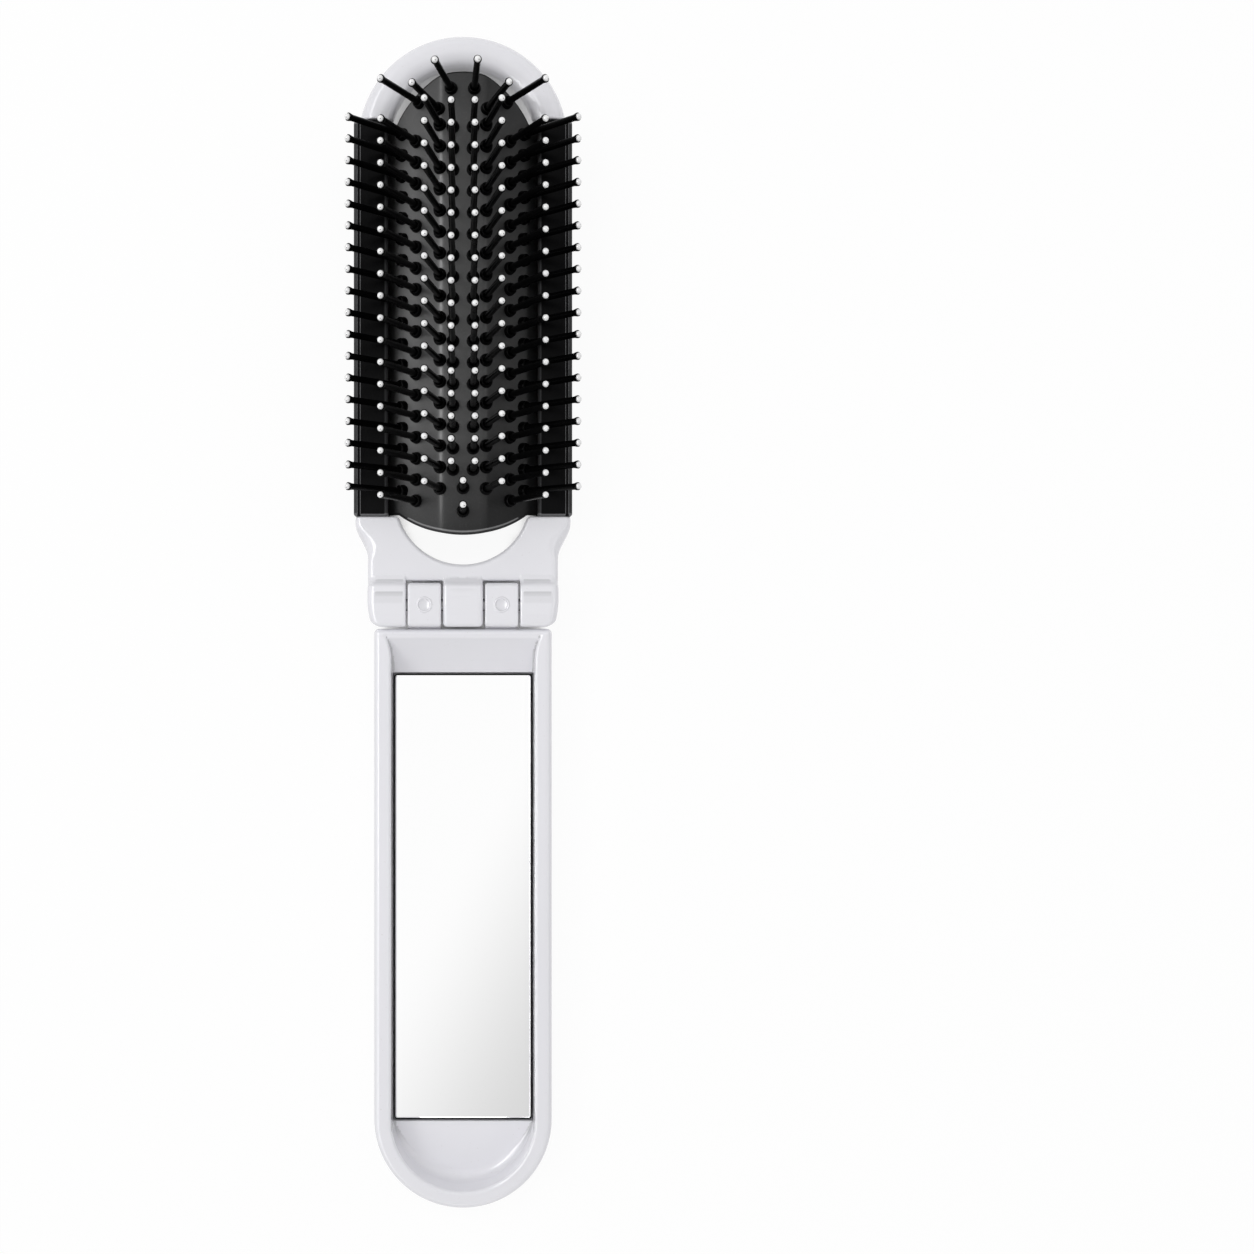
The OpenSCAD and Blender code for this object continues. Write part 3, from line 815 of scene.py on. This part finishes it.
def pad_half(side):
    """Half of the arched sheet, from the middle line to one sleeve."""
    x, v, inset = pad_grid()
    half_t = pad_t / 2 * np.sqrt(np.clip(1 - (1 - np.minimum(inset, pad_edge) / pad_edge) ** 2, 0, 1))
    middle = pad_height(x)
    # no rib where the sheet thins out toward its edge
    ribs = rib_drop(x, v) * (half_t > pad_t * 0.45)
    front = np.stack([x, v, middle + half_t], -1)
    back = np.stack([x, v, middle - half_t - ribs], -1)
    points = np.concatenate([front.reshape(-1, 3), back.reshape(-1, 3)])
    rows, columns = x.shape
    behind = rows * columns
    grid = np.arange(behind).reshape(rows, columns)
    quads = np.stack([grid[:-1, :-1], grid[1:, :-1], grid[1:, 1:], grid[:-1, 1:]], -1).reshape(-1, 4)
    rim = np.concatenate([grid[:, 0], grid[-1, 1:], grid[::-1, -1][1:]])
    walls = np.stack([rim[:-1], rim[:-1] + behind, rim[1:] + behind, rim[1:]], -1)
    faces = np.concatenate([quads, quads[:, ::-1] + behind, walls])
    if side < 0:
        points, faces = mirrored(points, faces)
    bend = np.concatenate([pad_lines(v, inset).ravel(), np.zeros(behind)])
    piece = build("pad_half_left" if side < 0 else "pad_half_right", points, faces, bend=bend)
    dress(piece, "pad_plastic", "pad")
    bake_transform(piece)
    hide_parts("pad_web_left" if side < 0 else "pad_web_right", "pad_crown")


# ---------- pins and ball tips ----------

SEGMENTS = 18
# height above the pad's middle surface and radius: the collar, then the pin with its cup
COLLAR = [
    (0.1, 1.1), (0.55, 1.07), (0.75, 1.0), (1.1, 0.98), (1.28, 0.93),
    (1.38, 0.84), (1.4, 0.74), (1.3, 0.67), (1.05, 0.64),
]
PIN = [
    (1.05, 0.62), (1.6, 0.57), (2.6, 0.53), (7.0, 0.515), (11.2, 0.51), (11.5, 0.56),
    (11.75, 0.625), (11.97, 0.65), (12.08, 0.635), (12.1, 0.58), (12.0, 0.5), (11.9, 0.3),
]
# the ball's profile starts inside the cup
BALL_R, BALL_HEIGHT = 0.5, 12.09
BALL = [(BALL_HEIGHT - BALL_R * math.cos(a), BALL_R * math.sin(a)) for a in np.linspace(0.9, math.pi, 16)]
# the small dark spot on each ball, a painted reflection
DARK_SPOT_PLACE, DARK_SPOT_R = (0.2, -0.2, BALL_HEIGHT + 0.41), 0.1


def lathe(profile):
    """Points and quads of a profile turned round the Z axis."""
    turn = np.linspace(0, 2 * math.pi, SEGMENTS, endpoint=False)
    points = np.array([[r * math.cos(a), r * math.sin(a), h] for h, r in profile for a in turn])
    return points, np.array(ring_quads(len(profile), SEGMENTS))


def planted(profile, roots):
    """The profile at each root (x, v, lean in degrees), standing on the pad."""
    shape, faces = lathe(profile)
    points, quads = [], []
    for i, (x, v, lean) in enumerate(roots):
        a = math.radians(lean) * (1 if x > 0 else -1)
        turned = np.stack([
            shape[:, 0] * math.cos(a) + shape[:, 2] * math.sin(a), shape[:, 1],
            -shape[:, 0] * math.sin(a) + shape[:, 2] * math.cos(a),
        ], -1)
        points.append(turned + [x, v, pad_height(x)])
        quads.append(faces + i * len(shape))
    return np.concatenate(points), np.concatenate(quads)


def bristles(name, tips_name, body, roots):
    """Pins with their collars, and their ball tips, standing for two CAD nodes."""
    collar_points, collar_faces = planted(COLLAR, roots)
    pin_points, pin_faces = planted(PIN, roots)
    points = np.concatenate([collar_points, pin_points])
    faces = np.concatenate([collar_faces, pin_faces + len(collar_points)])
    pins = build(name + "_pins", points, faces)
    dress(pins, "bristle_nylon", "nylon")
    tips = build(tips_name + "_balls", *planted(BALL, roots))
    # the dark spot on each ball, a painted reflection
    away = np.linalg.norm(lathe(BALL)[0] - DARK_SPOT_PLACE, axis=1)
    set_bend(tips.data, np.tile(-1.0 * (away < DARK_SPOT_R), len(roots)))
    dress(tips, "tip_resin", "ball")
    for piece, node in ((pins, name), (tips, tips_name)):
        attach(piece, body)
        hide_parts(node)


def row_roots(side, k):
    """Roots of one long row, counted from the middle. One row has a corner pin beyond its end."""
    corner_row, corner_in, corner_up, corner_lean = 2, 4.1, 2.3, 30
    first = field_low + row_shift[k] * bristle_pitch
    count = int((field_high - first) / bristle_pitch + 1e-6) + 1
    roots = [(side * row_x[k], first + i * bristle_pitch, row_lean[k]) for i in range(count)]
    if k == corner_row:
        roots.append((side * (pad_high_half - corner_in), sleeve_end + corner_up, corner_lean))
    return roots


def bristle_pieces():
    order = [(-1, 3), (-1, 2), (-1, 1), (-1, 0), (1, 0), (1, 1), (1, 2), (1, 3)]
    for number, (side, k) in enumerate(order, 1):
        body = "pad_middle" if k < 2 else "pad_left" if side < 0 else "pad_right"
        bristles(f"bristle_row_{number}", f"bristle_tips_{number}", body, row_roots(side, k))
    # single pins past the sleeves' upper ends (X, distance, lean), and two near the pad's lower end
    ends = [(-1.8, 3.6, 12), (1.8, 3.6, 2), (-3.7, 0.4, 20), (3.7, 0.4, 16)]
    roots = [(x, sleeve_end + reach, lean) for x, reach, lean in ends]
    roots += [(0.001, field_low + 1.8, 0), (0.001, field_low - 1.9, 0)]
    bristles("end_bristles", "end_tips", "pad_middle", roots)


# ---------- the mirror and the hidden pieces ----------

def mirror_piece():
    """Flat glass with a ground bevel round its face."""
    corner, corner_extra, gap_shade_band, bevel = 0.3, 0.1, 0.2, 0.36
    chamfer, bevel_drop, gap_shade_drop = 0.12, 0.05, 0.04
    mid_v, half_x = (glass_low[1] + glass_high[1]) / 2, glass_high[0]
    half_v = (glass_high[1] - glass_low[1]) / 2
    # inset and height of each ring of points, from the bottom to the face
    levels = [
        (chamfer, glass_low[2]), (0, glass_low[2] + chamfer), (0, glass_high[2] - bevel_drop - gap_shade_drop),
        (gap_shade_band, glass_high[2] - bevel_drop), (bevel, glass_high[2]),
    ]
    turn = np.linspace(0, math.pi / 2, 6)
    points, ring_len = [], 4 * len(turn)
    for inset, z in levels:
        r = corner + max(0, corner_extra - inset)
        reach_x, reach_v = half_x - inset - r, half_v - inset - r
        for quarter, (sx, sv) in enumerate(((1, 1), (-1, 1), (-1, -1), (1, -1))):
            for a in turn + quarter * math.pi / 2:
                points.append([sx * reach_x + r * math.cos(a), mid_v + sv * reach_v + r * math.sin(a), z])
    faces = ring_quads(len(levels), ring_len)
    top = [(len(levels) - 1) * ring_len + i for i in range(ring_len)]
    bottom = list(range(ring_len))[::-1]
    piece = build("mirror_plate", points, faces + [top, bottom])
    piece.data.shade_flat()
    dress(piece, "mirror_glass", "mirror", "edge")
    # the bevel and the face are silvered; the sides and the back are dark backing paint, and the dark band
    # round the face is painted shade, standing in for the shade in the gap round the glass
    silvered = range(3 * ring_len, len(faces) + 1)
    for polygon in piece.data.polygons:
        polygon.material_index = 0 if polygon.index in silvered else 1
    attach(piece, "handle")
    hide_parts("mirror_glass")


def carried_nodes():
    """The two hidden CAD nodes keep their shape and get a material."""
    for node, name in (("hinge_pin", "steel"), ("mirror_tape", "tape")):
        mesh = frame["nodes"][node].data
        mesh.materials.clear()
        mesh.materials.append(MATERIALS[name])


# ---------- floor, light and camera ----------

WHITE = (1, 1, 1, 1)
FLOOR_WHITE = 0.93
WORLD_FILL = 0.57
# what gloss and glass reflect: a white sky, times each part's level where all the part's ramps reach 1.
# A ramp is (direction, start, end), its ends measured along the direction
SKY_PARTS = [
    (0.69, [((0.866, -0.5, 0.0), 0.08, 0.22), ((0.0, 0.0, 1.0), 0.6, 0.75)]),
    (0.25, [((1.0, 0.0, 0.0), 0.6, 0.95)]),
    (1.6, [((-1.0, 0.0, 0.0), 0.7, 0.8)]),
    # a long soft box high on the left, for the thin bright lines along the mouldings' edges
    (4.5, [
        ((-1.0, 0.0, 0.0), 0.4, 0.46),
        ((1.0, 0.0, 0.0), -0.78, -0.7),
        ((0.0, 0.0, 1.0), 0.5, 0.6),
    ]),
]


def floor():
    """A plain floor, nearly white to the camera. In the narrow gaps under the brush it stays dark."""
    size, z = 1.5, -0.0002
    gap_reach, gap_dark, gap_open = 0.009, 0.26, 0.38
    corners = [(-size, -size, z), (size, -size, z), (size, size, z), (-size, size, z)]
    mesh = bpy.data.meshes.new("floor")
    mesh.from_pydata(corners, [], [(0, 1, 2, 3)])
    plane = bpy.data.objects.new("floor", mesh)
    bpy.context.scene.collection.objects.link(plane)
    m = Shader("pale_floor", (0.9, 0.9, 0.9), Roughness=0.8, Specular_IOR_Level=0.0)
    glow = m.add("Emission")
    m.put(WHITE, glow.inputs["Color"])
    m.put(1.0, glow.inputs["Strength"])
    shelter = m.add("AmbientOcclusion")
    m.put(gap_reach, shelter.inputs["Distance"])
    open_share = m.spread(shelter.outputs["AO"], gap_dark, gap_open)
    share = m.math("MULTIPLY", m.rays("Is Camera Ray", "Is Glossy Ray", "Is Transmission Ray"), FLOOR_WHITE)
    share = m.math("MULTIPLY", share, open_share)
    surface = m.mixed(share, m.shader.outputs[0], glow.outputs[0])
    m.put(surface, m.tree.nodes["Material Output"].inputs["Surface"])
    mesh.materials.append(m.material)


def gloss_sky(n):
    """The brightness of the sky in each direction, as gloss and glass reflect it."""
    place = n.add("TexCoord").outputs["Generated"]
    sky = 1.0
    for level, ramps in SKY_PARTS:
        share = 1.0
        for direction, start, end in ramps:
            lean = n.add("VectorMath", operation="DOT_PRODUCT")
            n.put(place, lean.inputs[0])
            n.put(direction, lean.inputs[1])
            ramp = n.spread(lean.outputs["Value"], start, end, kind="SMOOTHSTEP")
            share = n.math("MULTIPLY", share, ramp)
        sky = n.math("MULTIPLY", sky, n.spread(share, 0, 1, 1.0, level))
    return sky


def world():
    """White surroundings. What gloss and glass reflect of them is brighter on the left than on the right."""
    sky = bpy.data.worlds.new("studio")
    bpy.context.scene.world = sky
    sky.use_nodes = True
    sky.node_tree.nodes.clear()
    n = Nodes(sky.node_tree)

    def backdrop(colour, strength):
        node = n.add("Background")
        n.put(colour, node.inputs["Color"])
        n.put(strength, node.inputs["Strength"])
        return node.outputs[0]

    fill, gloss, white = backdrop(WHITE, WORLD_FILL), backdrop(gloss_sky(n), 1.0), backdrop(WHITE, 1.0)
    reflected = n.mixed(n.rays("Is Glossy Ray", "Is Transmission Ray"), fill, gloss)
    surface = n.mixed(n.rays("Is Camera Ray"), reflected, white)
    n.put(surface, n.add("OutputWorld").inputs["Surface"])


def lamp(name, place, size, energy, shines=True):
    """A rectangular lamp aimed at the middle of the scene. shines says whether gloss reflects it."""
    light = bpy.data.lights.new(name, "AREA")
    light.shape = "RECTANGLE"
    light.size, light.size_y = size
    light.energy = energy
    piece = bpy.data.objects.new(name, light)
    bpy.context.scene.collection.objects.link(piece)
    piece.location = place
    piece.rotation_mode = "QUATERNION"
    piece.rotation_quaternion = (Vector((0, 0, 0)) - Vector(place)).to_track_quat("-Z", "Y")
    piece.visible_glossy = shines


def lights():
    lamp("key_light", (-0.36, 0.08, 0.5), size=(0.55, 0.16), energy=0.82)
    lamp("fill_light", (0.5, -0.05, 0.42), size=(0.5, 0.12), energy=0.2)
    lamp("top_light", (0.0, 0.2, 0.55), size=(0.5, 0.15), energy=0.8, shines=False)
    lamp("front_light", (-0.1, -0.5, 0.4), size=(0.5, 0.2), energy=0.25)


def camera():
    """Straight above the brush. The brush stands left of the middle of the picture."""
    image_px, axis_px = 1254, 463
    eye_height, eye_drop = 0.234, 3.6
    data = bpy.data.cameras.new("camera")
    data.sensor_width = 36.0
    data.lens = 39.73
    data.shift_x = (image_px / 2 - axis_px) / image_px
    data.clip_start, data.clip_end = 0.01, 10
    eye = bpy.data.objects.new("camera", data)
    eye.location = (0, (hinge_y - eye_drop) * MM, eye_height)
    bpy.context.scene.collection.objects.link(eye)
    bpy.context.scene.camera = eye


head_piece()
handle_piece()
sleeve_pieces()
pad_half(-1)
pad_half(1)
bristle_pieces()
mirror_piece()
carried_nodes()
floor()
world()
lights()
camera()
bpy.context.scene.view_settings.view_transform = "Standard"
